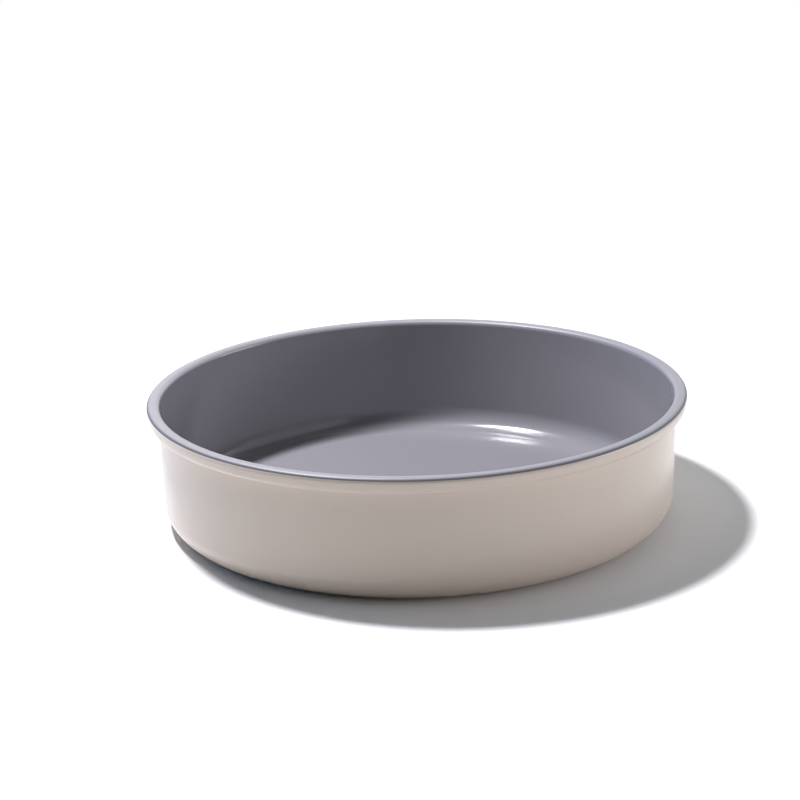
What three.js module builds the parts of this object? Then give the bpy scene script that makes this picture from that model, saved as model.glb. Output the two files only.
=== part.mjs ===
// Round cake pan: one drawn steel shell whose edge is rolled round a wire, with a grey
// non-stick lining that runs over the top of the rim and a cream coat on the outside.
// Millimetres, +Z up along the pan's axis, origin at the centre of the underside.
import * as THREE from "three";

// Driving dimensions of the pan
const HEIGHT = 57; // underside to the top of the rim, over the coats
const WALL_DIAMETER = 233; // over the outer coat, at half the height of the rolled rim
const WALL_LEAN = 0.75; // degrees by which the wall opens towards the mouth
const BASE_BEND = 10.6; // inside radius of the sheet between the floor and the wall
const SHEET = 0.8; // thickness of the steel
const LINING = 0.1; // thickness of the grey coat
const OUTER_COAT = 0.1; // thickness of the cream coat
const BOND = 0.02; // film that bonds each coat to the steel

// Driving dimensions of the rolled rim
const WIRE_DIAMETER = 3.4;
const WIRE_SIDE_GAP = 0.3; // from the wire to the wall, and from the wire to the skirt
const WIRE_END_GAP = 0.9; // from the wire to the sheet above it and below it
const RIM_INNER_BEND = 1.5; // inside radius of the sheet between the wall and the flat top
const RIM_OUTER_BEND = 1.2; // inside radius of the sheet between the flat top and the skirt
const RIM_LOWER_BEND = 1.6; // inside radius of the sheet between the skirt and its turned-in edge
const RIM_TUCK = 0.5; // how much further in the lower bend stands than the outer bend
const SEAM_GAP = 0.3; // between the sheet's turned-in edge and the wall
const COLOUR_LINE = 27; // degrees above level, round the outer bend, where the two coats meet

// Facets
const TURN_STEPS = 72; // round the pan's axis, a multiple of four
const BASE_BEND_STEPS = 4;
const RIM_BEND_STEPS = 3;
const COLOUR_BEND_STEPS = 2; // each side of the colour line on the outer bend
const WIRE_SIDES = 8;

// Finishes
const STEEL = { color: 0xb4b6b9, roughness: 0.4, metalness: 1 };
const WIRE = { color: 0x9b9ea2, roughness: 0.45, metalness: 1 };
const GREY = { color: 0x9d9ba5, roughness: 0.35, metalness: 0 };
const CREAM = { color: 0xd8ccc2, roughness: 0.4, metalness: 0 };

// Levels and radii of the bare sheet. Its bowl face looks into the bowl, and on the rolled
// rim the same face looks up and out. Every other face is that face moved by an offset,
// positive on the side it looks to.
const LEVEL = 0;
const DOWN = -Math.PI / 2;
const UP = Math.PI / 2;
const INWARD = Math.PI;
const BACK_OF_SHEET = -SHEET;
const LINING_FACE = BOND + LINING;
const COAT_FACE_ON_RIM = BOND + OUTER_COAT;
const COAT_BACK_ON_WALL = BACK_OF_SHEET - BOND;
const COAT_FACE_ON_WALL = COAT_BACK_ON_WALL - OUTER_COAT;
const lean = THREE.MathUtils.degToRad(WALL_LEAN);
const colourLine = THREE.MathUtils.degToRad(COLOUR_LINE);
const floorZ = -COAT_FACE_ON_WALL;
const rimTopZ = HEIGHT - LINING_FACE;
const rimBottomZ = rimTopZ - WIRE_DIAMETER - 2 * (WIRE_END_GAP + SHEET);
const rimMiddleZ = (rimTopZ + rimBottomZ) / 2;
const wallRadius = WALL_DIAMETER / 2 + COAT_FACE_ON_WALL / Math.cos(lean);
const wallBackRadius = wallRadius + SHEET / Math.cos(lean);
const wireRingRadius = wallBackRadius + WIRE_SIDE_GAP + WIRE_DIAMETER / 2;
const skirtMiddleRadius = wireRingRadius + WIRE_DIAMETER / 2 + WIRE_SIDE_GAP + SHEET;
const rimRadius = skirtMiddleRadius + RIM_TUCK / 2;

// Radius of the wall at a height, for the face at an offset from the bowl face.
function wallAt(z, offset) {
  return wallRadius - offset / Math.cos(lean) + (z - rimMiddleZ) * Math.tan(lean);
}

// A bend is the centre of its arc and its radius on the bowl face. The base bend is hollow
// on that face, so an offset shrinks it, and the rim's bends are round there and grow.
function baseBend() {
  const z = floorZ + BASE_BEND;
  return { centre: new THREE.Vector2(wallAt(z, BASE_BEND), z), radius: BASE_BEND };
}

function rimInnerBend() {
  const radius = RIM_INNER_BEND + SHEET;
  const z = rimTopZ - radius;
  return { centre: new THREE.Vector2(wallAt(z, -radius), z), radius };
}

function rimOuterBend() {
  const radius = RIM_OUTER_BEND + SHEET;
  return { centre: new THREE.Vector2(rimRadius - radius, rimTopZ - radius), radius };
}

function rimLowerBend() {
  const radius = RIM_LOWER_BEND + SHEET;
  const tuckedRadius = rimRadius - RIM_TUCK;
  return { centre: new THREE.Vector2(tuckedRadius - radius, rimBottomZ + radius), radius };
}

// Direction that the skirt faces, where it is straight between its two bends.
function skirtFacing() {
  const upper = rimOuterBend();
  const lower = rimLowerBend();
  const between = upper.centre.clone().sub(lower.centre);
  const turn = Math.acos((lower.radius - upper.radius) / between.length());
  return between.angle() - turn;
}

function arc(centre, radius, from, to, steps) {
  const clockwise = to < from;
  const curve = new THREE.EllipseCurve(centre.x, centre.y, radius, radius, from, to, clockwise);
  return curve.getPoints(steps);
}

// Stretches of one face of the sheet, in the order that they run out from the axis. Each is a
// list of points in the half plane of radius and height.
function floorRun(offset) {
  const { centre, radius } = baseBend();
  const axisPoint = new THREE.Vector2(0, floorZ + offset);
  return [axisPoint, ...arc(centre, radius - offset, DOWN, LEVEL - lean, BASE_BEND_STEPS)];
}

function rimTopRun(offset) {
  const inner = rimInnerBend();
  const outer = rimOuterBend();
  return [
    ...arc(inner.centre, inner.radius + offset, INWARD - lean, UP, RIM_BEND_STEPS),
    ...arc(outer.centre, outer.radius + offset, UP, colourLine, COLOUR_BEND_STEPS),
  ];
}

function skirtRun(offset) {
  const outer = rimOuterBend();
  const lower = rimLowerBend();
  const facing = skirtFacing();
  return [
    ...arc(outer.centre, outer.radius + offset, colourLine, facing, COLOUR_BEND_STEPS),
    ...arc(lower.centre, lower.radius + offset, facing, DOWN, RIM_BEND_STEPS),
  ];
}

// End of the turned-in edge, a seam gap short of the wall.
function edgePoint(offset) {
  const radius = wallAt(rimBottomZ, BACK_OF_SHEET) + SEAM_GAP;
  return new THREE.Vector2(radius, rimBottomZ - offset);
}

// Corner where the outer coat turns from the wall on to the underside of the rim.
function seamPoint(wallOffset, rimOffset) {
  const z = rimBottomZ - rimOffset;
  return new THREE.Vector2(wallAt(z, wallOffset), z);
}

// A closed solid turned round the axis, from a lower or outer face and an upper or inner one.
// Both faces run outwards from the axis.
function turned(outerFace, innerFace) {
  const geometry = new THREE.LatheGeometry([...outerFace, ...innerFace.toReversed()], TURN_STEPS);
  geometry.rotateX(Math.PI / 2);
  return geometry;
}

function shellGeometry() {
  const face = (offset) => [
    ...floorRun(offset),
    ...rimTopRun(offset),
    ...skirtRun(offset).slice(1),
    edgePoint(offset),
  ];
  return turned(face(BACK_OF_SHEET), face(0));
}

function liningGeometry() {
  const face = (offset) => [...floorRun(offset), ...rimTopRun(offset)];
  return turned(face(BOND), face(LINING_FACE));
}

// The coat bridges the seam, so it is one skin from the colour line down to the underside.
function outerCoatGeometry() {
  const face = (wallOffset, rimOffset) => [
    ...floorRun(wallOffset),
    seamPoint(wallOffset, rimOffset),
    ...skirtRun(rimOffset).toReversed(),
  ];
  return turned(face(COAT_FACE_ON_WALL, COAT_FACE_ON_RIM), face(COAT_BACK_ON_WALL, BOND));
}

function wireGeometry() {
  const ring = new THREE.TorusGeometry(wireRingRadius, WIRE_DIAMETER / 2, WIRE_SIDES, TURN_STEPS);
  ring.translate(0, 0, rimMiddleZ);
  return ring;
}

function piece(name, geometry, finish) {
  const mesh = new THREE.Mesh(geometry, new THREE.MeshStandardMaterial(finish));
  mesh.name = name;
  return mesh;
}

const pan = new THREE.Group();
pan.name = "round_cake_pan";
pan.add(
  piece("pan_shell", shellGeometry(), STEEL),
  piece("rim_wire", wireGeometry(), WIRE),
  piece("inner_lining", liningGeometry(), GREY),
  piece("outer_coat", outerCoatGeometry(), CREAM),
);

export default pan;
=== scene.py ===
# %% [markdown]
# This lesson dresses a round cake pan. The real pan is one sheet of steel, drawn into a dish
# and rolled round a wire at the mouth, with a grey non-stick lining inside and a cream coat
# outside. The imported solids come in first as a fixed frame, in metres, with the pan's axis
# along Z and its underside at zero. The solids could be shaded as they are, but they have
# flat facets, so each one is replaced by a smooth piece that is cut from the same sizes.

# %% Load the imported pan
import math

import bmesh
import bpy
from mathutils import Matrix, Vector


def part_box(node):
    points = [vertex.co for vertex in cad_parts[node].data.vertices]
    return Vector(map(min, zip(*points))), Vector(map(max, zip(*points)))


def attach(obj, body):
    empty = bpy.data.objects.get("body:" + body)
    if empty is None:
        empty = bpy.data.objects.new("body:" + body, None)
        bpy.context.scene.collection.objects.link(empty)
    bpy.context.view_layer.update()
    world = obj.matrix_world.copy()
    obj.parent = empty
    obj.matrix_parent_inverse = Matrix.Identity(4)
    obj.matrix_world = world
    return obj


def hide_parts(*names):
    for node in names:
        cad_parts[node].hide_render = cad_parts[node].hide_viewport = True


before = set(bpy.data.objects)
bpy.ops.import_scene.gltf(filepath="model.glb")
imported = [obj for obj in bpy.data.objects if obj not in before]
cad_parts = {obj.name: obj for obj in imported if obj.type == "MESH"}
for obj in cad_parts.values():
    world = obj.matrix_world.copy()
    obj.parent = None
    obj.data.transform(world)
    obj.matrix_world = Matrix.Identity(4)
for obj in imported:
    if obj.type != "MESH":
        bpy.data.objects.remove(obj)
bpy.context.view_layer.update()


def millimetres(*lengths):
    """Lengths in metres as rounded millimetres, for printing."""
    return [round(1000 * length, 2) for length in lengths]


# %% [markdown]
# Sizes come from the frame where its boxes show them: the heights of the sheet and of the
# colour line, the wire's ring and its thickness, and the reach of the rim. What no box shows
# is written here as a real size, such as the thickness of the sheet and the radius of each
# bend. One set of values then shapes all four pieces, so they nest as coats on a sheet do.

# %% Sizes of the sheet, its coats and its wire
SHEET = 0.0008
COAT = 0.0001
BOND = 0.00002
WALL_LEAN = math.radians(0.75)
WIRE_SIDE_GAP = 0.0003
SEAM_GAP = 0.0003

shell_low, shell_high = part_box("pan_shell")
coat_low, coat_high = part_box("outer_coat")
wire_low, wire_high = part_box("rim_wire")

floor_z = shell_low.z + SHEET
rim_top_z = shell_high.z
colour_line_z = coat_high.z
rim_radius = coat_high.x - COAT - BOND
wire_radius = (wire_high.z - wire_low.z) / 2
wire_ring_radius = wire_high.x - wire_radius
rim_middle_z = (wire_high.z + wire_low.z) / 2
rim_bottom_z = 2 * rim_middle_z - rim_top_z
wall_radius = wire_ring_radius - wire_radius - WIRE_SIDE_GAP - SHEET / math.cos(WALL_LEAN)
print("wall radius at the rim in millimetres:", millimetres(wall_radius))

# %% [markdown]
# Every piece of this pan is round, so a slice through one side says all of its shape. The
# slice is drawn in the half plane of radius and height. The bowl face of the bare sheet is
# the master line, and each other face is that line moved by an offset, positive towards the
# side that the bowl face looks to. Bends are true arcs about the same centres, so a coat
# stays equally thick round every bend, as a sprayed coat does.

# %% Bends of the sheet
BASE_BEND = 0.0106
RIM_INNER_BEND = 0.0015 + SHEET
RIM_OUTER_BEND = 0.0012 + SHEET
RIM_LOWER_BEND = 0.0016 + SHEET
RIM_TUCK = 0.0005


def wall_at(z, offset):
    """Radius of the wall at a height, for the face at an offset from the bowl face."""
    slope = math.tan(WALL_LEAN)
    return wall_radius - offset / math.cos(WALL_LEAN) + (z - rim_middle_z) * slope


base_centre = Vector((wall_at(floor_z + BASE_BEND, BASE_BEND), floor_z + BASE_BEND))
inner_z = rim_top_z - RIM_INNER_BEND
inner_centre = Vector((wall_at(inner_z, -RIM_INNER_BEND), inner_z))
outer_centre = Vector((rim_radius - RIM_OUTER_BEND, rim_top_z - RIM_OUTER_BEND))
lower_centre = Vector((rim_radius - RIM_TUCK - RIM_LOWER_BEND, rim_bottom_z + RIM_LOWER_BEND))
print("base bend's centre in millimetres:", millimetres(*base_centre))

# %% [markdown]
# A bend runs from one direction to another, so the main directions get names. The angle of
# the colour line comes from its height in the frame. The skirt of the rim is straight
# between two bends, like a belt between two pulleys. Its direction could be read off a
# drawing, but it follows exactly from the two centres and radii.

# %% Directions round the bends
DOWN = -math.pi / 2
LEVEL = 0.0
UP = math.pi / 2
INWARD = math.pi

colour_line = math.asin((colour_line_z - outer_centre.y) / (RIM_OUTER_BEND + BOND + COAT))
between = outer_centre - lower_centre
skirt_turn = math.acos((RIM_LOWER_BEND - RIM_OUTER_BEND) / between.length)
skirt_facing = math.atan2(between.y, between.x) - skirt_turn
print("colour line in degrees above level:", round(math.degrees(colour_line), 2))

# %% [markdown]
# Straight stretches need few points to be straight, but smooth shading spreads the normal of
# a bend over the whole face next to it. So points crowd together at both ends of a stretch:
# the face beside each bend is then narrow, and a flat floor keeps flat reflections.

# %% Arcs and straight stretches
BEND_PITCH = 0.0004
STRAIGHT_PITCH = 0.004


def arc(centre, radius, start, stop, pitch=BEND_PITCH):
    """Points of a bend, from one direction to another."""
    steps = max(4, math.ceil(abs(stop - start) * radius / pitch))
    turns = [start + (stop - start) * step / steps for step in range(steps + 1)]
    return [centre + radius * Vector((math.cos(turn), math.sin(turn))) for turn in turns]


def straight(start, stop):
    """Points between two ends, without the ends, closest together near each end."""
    steps = math.ceil((stop - start).length / STRAIGHT_PITCH) + 3
    shares = [(1 - math.cos(math.pi * step / steps)) / 2 for step in range(1, steps)]
    return [start.lerp(stop, share) for share in shares]


def joined(*runs):
    """One line through several runs of points, with a straight stretch across each gap."""
    line = list(runs[0])
    for run in runs[1:]:
        line += straight(line[-1], run[0])
        line += run
    return line


print("points of a bend and of a stretch stand apart by", millimetres(BEND_PITCH, STRAIGHT_PITCH))

# %% [markdown]
# A face of the sheet is put together from three runs: the floor with its base bend, the top
# of the rim, and the skirt. A whole face could be drawn for each piece, but a run that takes
# an offset serves the steel, the lining and the coat alike. The base bend is hollow on the
# bowl's side, so an offset shrinks it, while the bends of the rim are round there and grow.

# %% Runs of one face of the sheet
BASE_PITCH = 2 * BEND_PITCH


def floor_run(offset):
    axis_point = Vector((0, floor_z + offset))
    bend = arc(base_centre, BASE_BEND - offset, DOWN, LEVEL - WALL_LEAN, BASE_PITCH)
    return joined([axis_point], bend)


def rim_top_run(offset):
    inner = arc(inner_centre, RIM_INNER_BEND + offset, INWARD - WALL_LEAN, UP)
    outer = arc(outer_centre, RIM_OUTER_BEND + offset, UP, colour_line)
    return joined(inner, outer)


def skirt_run(offset):
    outer = arc(outer_centre, RIM_OUTER_BEND + offset, colour_line, skirt_facing)
    lower = arc(lower_centre, RIM_LOWER_BEND + offset, skirt_facing, DOWN)
    return joined(outer, lower)


print("points on the floor's run:", len(floor_run(0)), "and on the rim's top:", len(rim_top_run(0)))

# %% [markdown]
# A lathe turns a slice into a round piece. Blender has a Screw modifier for that, but here a
# Geometry Nodes tree does it, because all four pieces follow the one rule and the tree shows
# the rule plainly. It takes the slice, the number of steps round the axis, a distance within
# which points are welded, and the finish. Three helpers keep the building of trees short,
# here and in the finishes below.

# %% Lathe tree and its inputs
LATHE_INPUTS = {
    "Slice": "NodeSocketGeometry",
    "Steps round": "NodeSocketInt",
    "Weld distance": "NodeSocketFloat",
    "Finish": "NodeSocketMaterial",
}


def feed(tree, node, inputs):
    """Links each input that is given a socket, and sets each one that is given a value."""
    for key, value in inputs.items():
        if isinstance(value, bpy.types.NodeSocket):
            tree.links.new(value, node.inputs[key])
        else:
            node.inputs[key].default_value = value


def add_node(tree, kind, inputs=None, **settings):
    """A new node with its settings and its inputs."""
    node = tree.nodes.new(kind)
    for key, value in settings.items():
        setattr(node, key, value)
    feed(tree, node, inputs or {})
    return node


def combined(tree, operation, first, second, kind="ShaderNodeMath"):
    """What an operation makes of two numbers."""
    return add_node(tree, kind, {0: first, 1: second}, operation=operation).outputs[0]


lathe = bpy.data.node_groups.new("turned_round_the_axis", "GeometryNodeTree")
for label, kind in LATHE_INPUTS.items():
    lathe.interface.new_socket(label, in_out="INPUT", socket_type=kind)
lathe.interface.new_socket("Piece", in_out="OUTPUT", socket_type="NodeSocketGeometry")
given = add_node(lathe, "NodeGroupInput").outputs
made = add_node(lathe, "NodeGroupOutput")
print("lathe takes:", list(LATHE_INPUTS))

# %% [markdown]
# The stock on this lathe is a flat grid, with one row for each point of the slice and one
# column for each step round the axis, plus a last column that comes to lie on the first. The
# columns could be copies of the slice, set round the axis as instances, but a grid has its
# faces already. A grid point's number, divided by the count of slice points, gives its
# column, and what is left over gives its row.

# %% Grid for the lathe
WHOLE = "FunctionNodeIntegerMath"

slice_size = add_node(
    lathe, "GeometryNodeAttributeDomainSize", {"Geometry": given["Slice"]}, component="MESH"
)
slice_count = slice_size.outputs["Point Count"]
columns = combined(lathe, "ADD", given["Steps round"], 1, WHOLE)
grid = add_node(lathe, "GeometryNodeMeshGrid", {"Vertices X": columns, "Vertices Y": slice_count})
number = add_node(lathe, "GeometryNodeInputIndex").outputs[0]
row = combined(lathe, "MODULO", number, slice_count, WHOLE)
column = combined(lathe, "DIVIDE_FLOOR", number, slice_count, WHOLE)
print("lathe tree so far:", len(lathe.nodes), "nodes")

# %% [markdown]
# Every grid point then moves to the slice point of its row, and turns about Z by its column's
# share of a full turn. Sines and cosines would give the same places, but Vector Rotate says
# plainly what a lathe does.

# %% Turn the grid
place = add_node(lathe, "GeometryNodeInputPosition").outputs[0]
on_slice = add_node(
    lathe,
    "GeometryNodeSampleIndex",
    {"Geometry": given["Slice"], "Value": place, "Index": row},
    data_type="FLOAT_VECTOR",
    domain="POINT",
)
share = combined(lathe, "DIVIDE", column, given["Steps round"])
angle = combined(lathe, "MULTIPLY", share, 2 * math.pi)
turned = add_node(
    lathe,
    "ShaderNodeVectorRotate",
    {"Vector": on_slice.outputs["Value"], "Angle": angle},
    rotation_type="Z_AXIS",
)
print("lathe tree so far:", len(lathe.nodes), "nodes")

# %% [markdown]
# Welding closes the seam where the last column meets the first, and the points on the axis.
# An open seam would hardly show, but a piece has to be a closed solid. The tree ends in
# Realize Instances and Set Material, so that what leaves it is a plain mesh with its finish.

# %% Weld and finish the turned grid
geometry = grid.outputs["Mesh"]
for kind, inputs in (
    ("GeometryNodeSetPosition", {"Position": turned.outputs[0]}),
    ("GeometryNodeMergeByDistance", {"Distance": given["Weld distance"]}),
    ("GeometryNodeSetShadeSmooth", {}),
    ("GeometryNodeRealizeInstances", {}),
    ("GeometryNodeSetMaterial", {"Material": given["Finish"]}),
):
    geometry = add_node(lathe, kind, {"Geometry": geometry, **inputs}).outputs[0]
feed(lathe, made, {"Piece": geometry})
print("lathe tree:", len(lathe.nodes), "nodes and", len(lathe.links), "links")

# %% [markdown]
# The tree is a modifier only while a piece is made. Its inputs are set by the identifiers of
# its sockets before Blender first evaluates the piece, and the result is then stored as a
# plain mesh. Edges sharper than a limit, such as the cut edge of a coat, are kept sharp so
# that smooth shading doesn't round them off. A closed piece whose faces look outwards has a
# positive volume, so the printed volume is also a test.

# %% Turn one piece
STEPS_ROUND = 288
WELD = 0.000001
SHARP_EDGE = math.radians(40)
MM3_IN_M3 = 1e9


def closed(face_below, face_above):
    """A slice between two faces that both run out from the axis."""
    return face_below + face_above[::-1]


def report(piece):
    """Prints a piece's faces, its volume and how many of its edges are open."""
    shape = bmesh.new()
    shape.from_mesh(piece.data)
    open_edges = sum(not edge.is_manifold for edge in shape.edges)
    volume = round(shape.calc_volume(signed=True) * MM3_IN_M3, 1)
    print(piece.name, len(shape.faces), "faces,", volume, "mm3,", open_edges, "open edges")
    shape.free()


def turned_piece(name, slice_line, finish):
    """A closed mesh that the lathe turns from a slice."""
    mesh = bpy.data.meshes.new(name)
    corners = [(point.x, 0, point.y) for point in slice_line]
    edges = [(number, number + 1) for number in range(len(corners) - 1)]
    mesh.from_pydata(corners, edges, [])
    piece = bpy.data.objects.new(name, mesh)
    bpy.context.scene.collection.objects.link(piece)
    modifier = piece.modifiers.new("lathe", "NODES")
    modifier.node_group = lathe
    sockets = {item.name: item.identifier for item in lathe.interface.items_tree}
    modifier[sockets["Steps round"]] = STEPS_ROUND
    modifier[sockets["Weld distance"]] = WELD
    modifier[sockets["Finish"]] = finish
    depsgraph = bpy.context.evaluated_depsgraph_get()
    solid = bpy.data.meshes.new_from_object(piece.evaluated_get(depsgraph))
    piece.modifiers.clear()
    piece.data = solid
    bpy.data.meshes.remove(mesh)
    solid.name = name
    solid.materials.pop(index=0)  # the grid's own empty slot
    solid.set_sharp_from_angle(angle=SHARP_EDGE)
    report(piece)
    return piece


print("each piece is turned in", STEPS_ROUND, "steps")

# %% [markdown]
# A finish here is a small tree of nodes round one Principled shader. Its patterns could be
# photographs wrapped round the pan, but noise on Object coordinates has no seam, keeps its
# real scale all over the pan and costs nothing to store. A noise stays mostly near the middle
# of its range, so the middle part is what gets spread over the values that a finish needs.

# %% Patterns for finishes
NOISE_LOW = 0.3
NOISE_HIGH = 0.7


def new_finish(name):
    material = bpy.data.materials.new(name)
    material.use_nodes = True
    tree = material.node_tree
    return material, tree, tree.nodes["Principled BSDF"]


def object_place(tree):
    return add_node(tree, "ShaderNodeTexCoord").outputs["Object"]


def cloud(tree, place, size, detail=2.0):
    """Noise whose blotches are about a size across, in metres."""
    inputs = {"Vector": place, "Scale": 1 / size, "Detail": detail}
    return add_node(tree, "ShaderNodeTexNoise", inputs).outputs["Fac"]


def axis_distance(tree, place):
    """Distance of a place from the pan's axis."""
    level = add_node(tree, "ShaderNodeVectorMath", {0: place, 1: (1, 1, 0)}, operation="MULTIPLY")
    length = add_node(tree, "ShaderNodeVectorMath", {0: level.outputs[0]}, operation="LENGTH")
    return length.outputs["Value"]


def between_values(tree, fac, low, high, start=NOISE_LOW, stop=NOISE_HIGH):
    """Spreads part of a factor, by default the middle of a noise, over a range of values."""
    inputs = {"Value": fac, "From Min": start, "From Max": stop, "To Min": low, "To Max": high}
    return add_node(tree, "ShaderNodeMapRange", inputs).outputs["Result"]


print("a noise is spread from", NOISE_LOW, "to", NOISE_HIGH)

# %% [markdown]
# A pattern shows only through what it drives. Here it moves a colour between two tints, two
# patterns are averaged into one, and a height becomes a bump with a real depth in metres. A
# Color Ramp could hold the tints, but two shades of one named colour are easier to repaint.

# %% Colours and skins for finishes
def shaded(colour, share):
    return tuple(channel * share for channel in colour)


def tinted(tree, fac, dark, light):
    """A colour that a factor moves from one tint to another."""
    inputs = {"Factor": fac, "A": (*dark, 1), "B": (*light, 1)}
    return add_node(tree, "ShaderNodeMix", inputs, data_type="RGBA").outputs["Result"]


def average(tree, first, second):
    inputs = {"Factor": 0.5, "A": first, "B": second}
    return add_node(tree, "ShaderNodeMix", inputs, data_type="FLOAT").outputs["Result"]


def wavy_skin(tree, height, depth):
    """A bump that lifts the surface by a depth in metres where the height is one."""
    inputs = {"Height": height, "Strength": 1, "Distance": depth}
    return add_node(tree, "ShaderNodeBump", inputs).outputs["Normal"]


print("white at nine tenths is", shaded((1, 1, 1), 0.9))

# %% [markdown]
# Both coats are ceramic enamels. What shows is a nearly even colour with a slight cloudiness
# and a very fine grain, a gloss that is a little uneven, and a skin that levels out into
# long, shallow waves before it hardens. The waves could be modelled, but they are a few
# thousandths of a millimetre deep, so a bump is enough.

# %% Ceramic coat
CLOUD_SIZE = 0.022
GRAIN_SIZE = 0.0004
GLOSS_SIZE = CLOUD_SIZE / 3
SKIN_WAVE = 0.0022


def ceramic_finish(name, colour, variation, roughness, skin_depth, ior):
    """An enamel with cloudy colour, fine grain, uneven gloss and a levelled, wavy skin."""
    material, tree, shader = new_finish(name)
    place = object_place(tree)
    tone = average(tree, cloud(tree, place, CLOUD_SIZE), cloud(tree, place, GRAIN_SIZE))
    spread = between_values(tree, tone, 0, 1)
    darkest = shaded(colour, 1 - variation)
    lightest = shaded(colour, 1 + variation)
    inputs = {
        "Base Color": tinted(tree, spread, darkest, lightest),
        "Roughness": between_values(tree, cloud(tree, place, GLOSS_SIZE), *roughness),
        "Normal": wavy_skin(tree, cloud(tree, place, SKIN_WAVE), skin_depth),
        "IOR": ior,
    }
    feed(tree, shader, inputs)
    return material


print("grain and skin waves in millimetres:", millimetres(GRAIN_SIZE, SKIN_WAVE))

# %% [markdown]
# Bare steel hides under the coats, but the pieces are also kept one by one, so the shell has
# a finish of its own. A press draws the sheet down between rings, which leaves fine marks
# round the axis. A picture of brushed steel would need a seam somewhere. Noise that reads
# only the radius and the height, and nothing of the angle, gives marks that close up.

# %% Steel finishes
DRAWN_MARK = 0.0003
MARK_DETAIL = 4.0
MARK_DEPTH = 0.000004
MARK_DARKEST = 0.85
MARK_LIGHTEST = 1.1


def steel_finish(name, colour, roughness):
    """Steel with fine marks that run round the axis."""
    material, tree, shader = new_finish(name)
    place = object_place(tree)
    radius = axis_distance(tree, place)
    height = add_node(tree, "ShaderNodeSeparateXYZ", {0: place}).outputs["Z"]
    ring = add_node(tree, "ShaderNodeCombineXYZ", {"X": radius, "Z": height}).outputs[0]
    marks = cloud(tree, ring, DRAWN_MARK, MARK_DETAIL)
    spread = between_values(tree, marks, 0, 1)
    darkest = shaded(colour, MARK_DARKEST)
    lightest = shaded(colour, MARK_LIGHTEST)
    inputs = {
        "Base Color": tinted(tree, spread, darkest, lightest),
        "Roughness": between_values(tree, marks, *roughness),
        "Normal": wavy_skin(tree, marks, MARK_DEPTH),
        "Metallic": 1,
    }
    feed(tree, shader, inputs)
    return material


print("drawn marks in millimetres:", millimetres(DRAWN_MARK))

# %% [markdown]
# The shell is the pan itself: a flat floor, a base bend, a wall that leans out a little, and
# a rim that turns over, runs down as a skirt and tucks in under the wire. It could be one
# surface with a Solidify modifier, but the slice already knows both faces, so it is closed
# exactly and its bends keep their real inside and outside radii.

# %% Drawn steel shell
SHELL_STEEL = (0.47, 0.48, 0.49)
SHELL_GLOSS = (0.3, 0.45)


def shell_face(offset):
    edge = Vector((wall_at(rim_bottom_z, -SHEET) + SEAM_GAP, rim_bottom_z - offset))
    return joined(floor_run(offset), rim_top_run(offset), skirt_run(offset)[1:], [edge])


shell_finish = steel_finish("drawn_steel", SHELL_STEEL, SHELL_GLOSS)
shell_slice = closed(shell_face(-SHEET), shell_face(0))
shell = turned_piece("drawn_steel_shell", shell_slice, shell_finish)

# %% [markdown]
# The wire stiffens the mouth. It is a hoop that the press rolls the sheet round, and nothing
# of it shows. A torus from the Add menu would do, but the same lathe turns it from a round
# slice that starts and ends at one point, so it sits exactly where the frame says.

# %% Rim wire
WIRE_STEEL = (0.33, 0.34, 0.36)
WIRE_GLOSS = (0.35, 0.5)

wire_centre = Vector((wire_ring_radius, rim_middle_z))
wire_slice = arc(wire_centre, wire_radius, -math.pi, math.pi)
wire_finish = steel_finish("hoop_steel", WIRE_STEEL, WIRE_GLOSS)
wire = turned_piece("rolled_rim_wire", wire_slice, wire_finish)

# %% [markdown]
# The grey lining is sprayed into the dish and over the flat top of the rim, and ends in a
# clean line round the rim's outer bend. It could be the steel with another colour, but the
# real coat has a thickness and an edge, so it is a skin of its own, a film's width off the
# steel. Its glaze is denser than window glass, so it mirrors lamps a little more strongly.

# %% Grey lining's finish
LINING_GREY = (0.27, 0.262, 0.2855)
LINING_VARIATION = 0.02
LINING_GLOSS = (0.15, 0.16)
LINING_SKIN = 0.0000015
LINING_IOR = 1.6

lining_finish = ceramic_finish(
    "grey_ceramic", LINING_GREY, LINING_VARIATION, LINING_GLOSS, LINING_SKIN, LINING_IOR
)
print("lining's finish:", lining_finish.name)

# %% [markdown]
# Over the rim the spray is thinner, and there it dries dull. Near the very edge, where the
# rim's outer bend turns away from the lamp, the lining's colour is darkened as painted shade,
# which draws a fine dark line beside the cream. This could be a second material, but a share
# that depends on the distance from the axis blends softly. Each pair below says how far in
# from the rim's outer edge the change starts and is full.

# %% Thin edge of the lining, dulled and with painted shade
# the edge grey below is painted shade for the rim's outer bend, not a colour of the coat
EDGE_PAINTED_SHADE_GREY = (0.12, 0.115, 0.13)
EDGE_GLOSS = 0.5
EDGE_DULLS = (0.0056, 0.0051)
EDGE_SHADE_PAINTED = (0.0011, 0.0005)


def dull_and_shade_painted_edge(material):
    """Dulls the lining over the whole rim, and darkens it near its edge as painted shade."""
    tree = material.node_tree
    shader = tree.nodes["Principled BSDF"]
    radius = axis_distance(tree, object_place(tree))
    for socket, kind, (start, stop), at_edge in (
        ("Roughness", "FLOAT", EDGE_DULLS, EDGE_GLOSS),
        # painted shade: the lining's colour darkens towards the rim's outer edge
        ("Base Color", "RGBA", EDGE_SHADE_PAINTED, (*EDGE_PAINTED_SHADE_GREY, 1)),
    ):
        share = between_values(tree, radius, 0, 1, rim_radius - start, rim_radius - stop)
        inside = shader.inputs[socket].links[0].from_socket
        inputs = {"Factor": share, "A": inside, "B": at_edge}
        mixed = add_node(tree, "ShaderNodeMix", inputs, data_type=kind)
        feed(tree, shader, {socket: mixed.outputs["Result"]})


dull_and_shade_painted_edge(lining_finish)
print("lining dulls beyond this radius in millimetres:", millimetres(rim_radius - EDGE_DULLS[0]))

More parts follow.
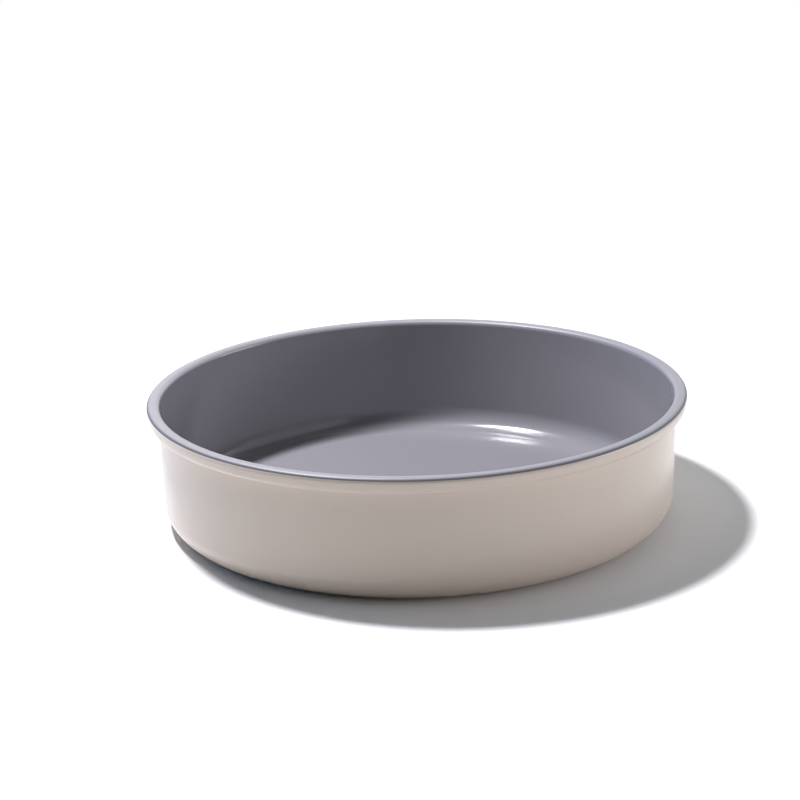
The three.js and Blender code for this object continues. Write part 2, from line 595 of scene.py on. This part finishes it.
# %% [markdown]
# The lining itself is turned from two faces of the slice, the lower one a film's width above
# the steel and the upper one a coat's thickness above that. Both run from the axis up the
# wall and over the rim to the colour line, where the slice closes in a small step. A paint
# mask on the shell could draw the same line, but it would have no step to catch the light.

# %% Grey lining
def lining_face(offset):
    return joined(floor_run(offset), rim_top_run(offset))


lining_slice = closed(lining_face(BOND), lining_face(BOND + COAT))
lining = turned_piece("grey_lining", lining_slice, lining_finish)

# %% [markdown]
# The cream coat covers the underside, the wall and the rolled rim up to the colour line. It
# bridges the seam under the rim, where wet enamel gathers into a small fillet. As with the
# lining, a real skin is cut from the same slice, so the two coats meet flush on the rim.

# %% Cream outer coat
CREAM = (0.735, 0.63, 0.537)
CREAM_VARIATION = 0.015
CREAM_GLOSS = (0.28, 0.36)
CREAM_SKIN = 0.000004
CREAM_IOR = 1.5
SEAM_FILLET = 0.0004


def seam_run(wall_offset, rim_offset, fillet):
    """The fillet where the coat turns from the wall on to the underside of the rim."""
    z = rim_bottom_z - rim_offset - fillet
    centre = Vector((wall_at(z, wall_offset) + fillet, z))
    return arc(centre, fillet, INWARD - WALL_LEAN, UP)


def coat_face(wall_offset, rim_offset, fillet):
    seam = seam_run(wall_offset, rim_offset, fillet)
    return joined(floor_run(wall_offset), seam, skirt_run(rim_offset)[::-1])


coat_outside = coat_face(-SHEET - BOND - COAT, BOND + COAT, SEAM_FILLET)
coat_inside = coat_face(-SHEET - BOND, BOND, SEAM_FILLET + COAT)
coat_finish = ceramic_finish(
    "cream_ceramic", CREAM, CREAM_VARIATION, CREAM_GLOSS, CREAM_SKIN, CREAM_IOR
)
coat = turned_piece("cream_outer_coat", closed(coat_outside, coat_inside), coat_finish)

# %% [markdown]
# Each piece stands for one node of the frame, which is then hidden, and rides on the frame's
# only body, because nothing on this pan moves.

# %% Set the pieces in the frame
for piece, node, slot in (
    (shell, "pan_shell", "shell_steel"),
    (wire, "rim_wire", "wire_steel"),
    (lining, "inner_lining", "grey_lining"),
    (coat, "outer_coat", "cream_coat"),
):
    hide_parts(node)
    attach(piece, "root")
    print(piece.name, "stands for", node, "with", piece.data.materials[0].name)

# %% [markdown]
# The camera stands in front of the pan, a little above it, with a long lens, tipped down and
# rolled slightly. It could be aimed with a Track To constraint, but three turns in a fixed
# order, a roll, a tip and a swing, place it once and leave nothing to evaluate later.

# %% Camera
CAMERA_DISTANCE = 0.8694
CAMERA_HEIGHT = 0.3254
CAMERA_TIP = math.radians(17.476)
CAMERA_SWING = math.radians(0.489)
CAMERA_ROLL = math.radians(-1.737)
LENS = 90.55
SENSOR_WIDTH = 36

camera_data = bpy.data.cameras.new("camera")
camera_data.sensor_width = SENSOR_WIDTH
camera_data.lens = LENS
camera = bpy.data.objects.new("camera", camera_data)
bpy.context.scene.collection.objects.link(camera)
swing = Matrix.Rotation(CAMERA_SWING, 4, "Z")
tip = Matrix.Rotation(math.pi / 2 - CAMERA_TIP, 4, "X")
roll = Matrix.Rotation(CAMERA_ROLL, 4, "Z")
stand = Matrix.Translation((0, -CAMERA_DISTANCE, CAMERA_HEIGHT))
camera.matrix_world = stand @ swing @ tip @ roll
bpy.context.scene.camera = camera
print("camera stands at", [round(value, 3) for value in camera.matrix_world.translation])

# %% [markdown]
# A white studio is lit so that its table and walls look white, while the pan gets no more
# light than it needs. More lamps on the background could do that here too, but they would
# also shine on the pan. Cycles can tell rays apart, so the background answers rays from the
# camera and from reflections with white, and the rays that carry light with its real shade.

# %% Helpers for rays and fades
def smooth_rise(tree, value, start, stop):
    """Rises softly from zero at the start to one at the stop."""
    inputs = {"Value": value, "From Min": start, "From Max": stop}
    rise = add_node(tree, "ShaderNodeMapRange", inputs, interpolation_type="SMOOTHSTEP")
    return rise.outputs["Result"]


def mixed_shaders(tree, share, first, second):
    return add_node(tree, "ShaderNodeMixShader", {0: share, 1: first, 2: second}).outputs[0]


def ray_kinds(tree):
    """Two sockets: one is 1 for rays from the camera, the other for mirrored or bent rays."""
    path = add_node(tree, "ShaderNodeLightPath").outputs
    mirrored = combined(tree, "MAXIMUM", path["Is Glossy Ray"], path["Is Transmission Ray"])
    return path["Is Camera Ray"], mirrored


print("white answers two kinds of rays: from the camera, and from reflections or glass")

# %% [markdown]
# The pan stands on a white table. A lit white sheet would do, but a lamp near the table
# falls off towards the edges of the picture. So near the pan the table is a plain matt
# white that takes the shadow, and further out it turns into a card that is white by itself
# for rays from the camera and for reflections, while it still lights the pan as before.

# %% White table
TABLE_HALF = 3.0
TABLE_WHITE = 0.78
SEEN_WHITE = 1.0
TABLE_ROUGHNESS = 0.8
CARD_STARTS = 0.3
CARD_FULL = 0.5


def table_finish():
    material, tree, shader = new_finish("white_table")
    from_camera, mirrored = ray_kinds(tree)
    seen = combined(tree, "MAXIMUM", from_camera, mirrored)
    inputs = {
        "Base Color": tinted(tree, seen, (TABLE_WHITE,) * 3, (SEEN_WHITE,) * 3),
        "Roughness": TABLE_ROUGHNESS,
        "Specular IOR Level": 0,
    }
    feed(tree, shader, inputs)
    reach = add_node(tree, "ShaderNodeVectorMath", {0: object_place(tree)}, operation="LENGTH")
    fade = smooth_rise(tree, reach.outputs["Value"], CARD_STARTS, CARD_FULL)
    card = add_node(tree, "ShaderNodeEmission").outputs[0]
    card_share = combined(tree, "MULTIPLY", fade, seen)
    surface = mixed_shaders(tree, card_share, shader.outputs[0], card)
    feed(tree, tree.nodes["Material Output"], {"Surface": surface})
    return material


table_mesh = bpy.data.meshes.new("table")
corners = [(-1, -1), (1, -1), (1, 1), (-1, 1)]
table_corners = [(x * TABLE_HALF, y * TABLE_HALF, coat_low.z) for x, y in corners]
table_mesh.from_pydata(table_corners, [], [(0, 1, 2, 3)])
table_mesh.materials.append(table_finish())
table = bpy.data.objects.new("table", table_mesh)
bpy.context.scene.collection.objects.link(table)
print("table reaches", TABLE_HALF, "m each way")

# %% [markdown]
# One small lamp high up on the left, a little behind the pan, throws the crisp shadow to the
# right and puts the white streaks in the base bend. A sun lamp would light evenly, but its
# shadow would be no wider than the pan. A lamp less than a metre away spreads the shadow on
# the table and narrows the one in the bowl, and those two widths say where it stands. Its
# light is a touch blue, like daylight, beside which the shade in the bowl looks neutral.

# %% Key lamp
LAMP_PLACE = Vector((-0.273, 0.137, 0.78))
LAMP_WIDTH = 0.12
LAMP_POWER = 10.3
LAMP_COLOUR = (1.0, 1.0, 1.05)

lamp_data = bpy.data.lights.new("lamp", "AREA")
lamp_data.shape = "DISK"
lamp_data.size = LAMP_WIDTH
lamp_data.energy = LAMP_POWER
lamp_data.color = LAMP_COLOUR
lamp = bpy.data.objects.new("lamp", lamp_data)
lamp.location = LAMP_PLACE
lamp.rotation_mode = "QUATERNION"
lamp.rotation_quaternion = (-LAMP_PLACE).to_track_quat("-Z", "Y")
bpy.context.scene.collection.objects.link(lamp)
print("lamp stands", round(LAMP_PLACE.length, 2), "m away")

# %% [markdown]
# The rest of the light comes from the room, which is the world here: a dark room with a few
# round panels, some white and some blue, as daylight makes them. Each one has a direction,
# given as an azimuth from straight behind the pan towards its left and an elevation, then a
# half angle, a soft edge and a colour. Area lamps could stand for the panels, but they would
# light the table unevenly, and panels of the world are as far away as walls. The camera's
# side stays dark, which keeps the back of the bowl dark too.

# %% Room panels
ROOM_PANELS = {
    "behind": (0, 5, 32, 20, (1.05, 1.05, 1.05)),
    "behind on the left": (65, 5, 32, 20, (0.15, 0.4, 0.75)),
    "behind on the right": (-45, 5, 32, 20, (0.8, 0.95, 1.1)),
    "right": (-107, 13, 39, 4, (0.50, 0.49, 0.48)),
    "low on the right": (-92, 0, 14, 8, (6.1, 6.2, 6.8)),
    "overhead": (0, 90, 22, 20, (0.38, 0.40, 0.43)),
}


def toward(azimuth, elevation):
    """Direction from the pan at an azimuth and an elevation in degrees."""
    turn = Matrix.Rotation(math.radians(azimuth), 3, "Z")
    lift = Matrix.Rotation(math.radians(elevation), 3, "X")
    return turn @ lift @ Vector((0, 1, 0))


def panel_glow(tree, place, azimuth, elevation, half_angle, soft_edge):
    """One inside a round panel of the world, and zero outside its soft edge."""
    inputs = {0: place, 1: toward(azimuth, elevation)}
    facing = add_node(tree, "ShaderNodeVectorMath", inputs, operation="DOT_PRODUCT")
    outer = math.cos(math.radians(half_angle + soft_edge / 2))
    inner = math.cos(math.radians(half_angle - soft_edge / 2))
    return smooth_rise(tree, facing.outputs["Value"], outer, inner)


print("room has", len(ROOM_PANELS), "panels")

# %% [markdown]
# The panels add up to one colour of light for each direction. The camera itself sees plain
# white in place of the room, and so do reflections of the wall behind the pan, so that the
# rim mirrors the white that the picture shows. A picture of a real studio could do all this,
# but six panels can be moved one by one.

# %% Room
def room_light():
    world = bpy.data.worlds.new("room")
    world.use_nodes = True
    tree = world.node_tree
    place = add_node(tree, "ShaderNodeTexCoord").outputs["Generated"]
    glows = {}
    light = (0, 0, 0)
    for name, (*shape, colour) in ROOM_PANELS.items():
        glows[name] = panel_glow(tree, place, *shape)
        inputs = {0: glows[name], 1: colour, 2: light}
        added = add_node(tree, "ShaderNodeVectorMath", inputs, operation="MULTIPLY_ADD")
        light = added.outputs["Vector"]
    room = tree.nodes["Background"]
    feed(tree, room, {"Color": light})

    from_camera, mirrored = ray_kinds(tree)
    mirrored_wall = combined(tree, "MULTIPLY", mirrored, glows["behind"])
    seen = combined(tree, "MAXIMUM", from_camera, mirrored_wall)
    white = add_node(tree, "ShaderNodeBackground", {"Color": (1, 1, 1, 1)})
    surface = mixed_shaders(tree, seen, room.outputs[0], white.outputs[0])
    feed(tree, tree.nodes["World Output"], {"Surface": surface})
    return world


bpy.context.scene.world = room_light()
bpy.context.scene.view_settings.view_transform = "Standard"
print("room is lit, with", len(bpy.context.scene.world.node_tree.nodes), "nodes")
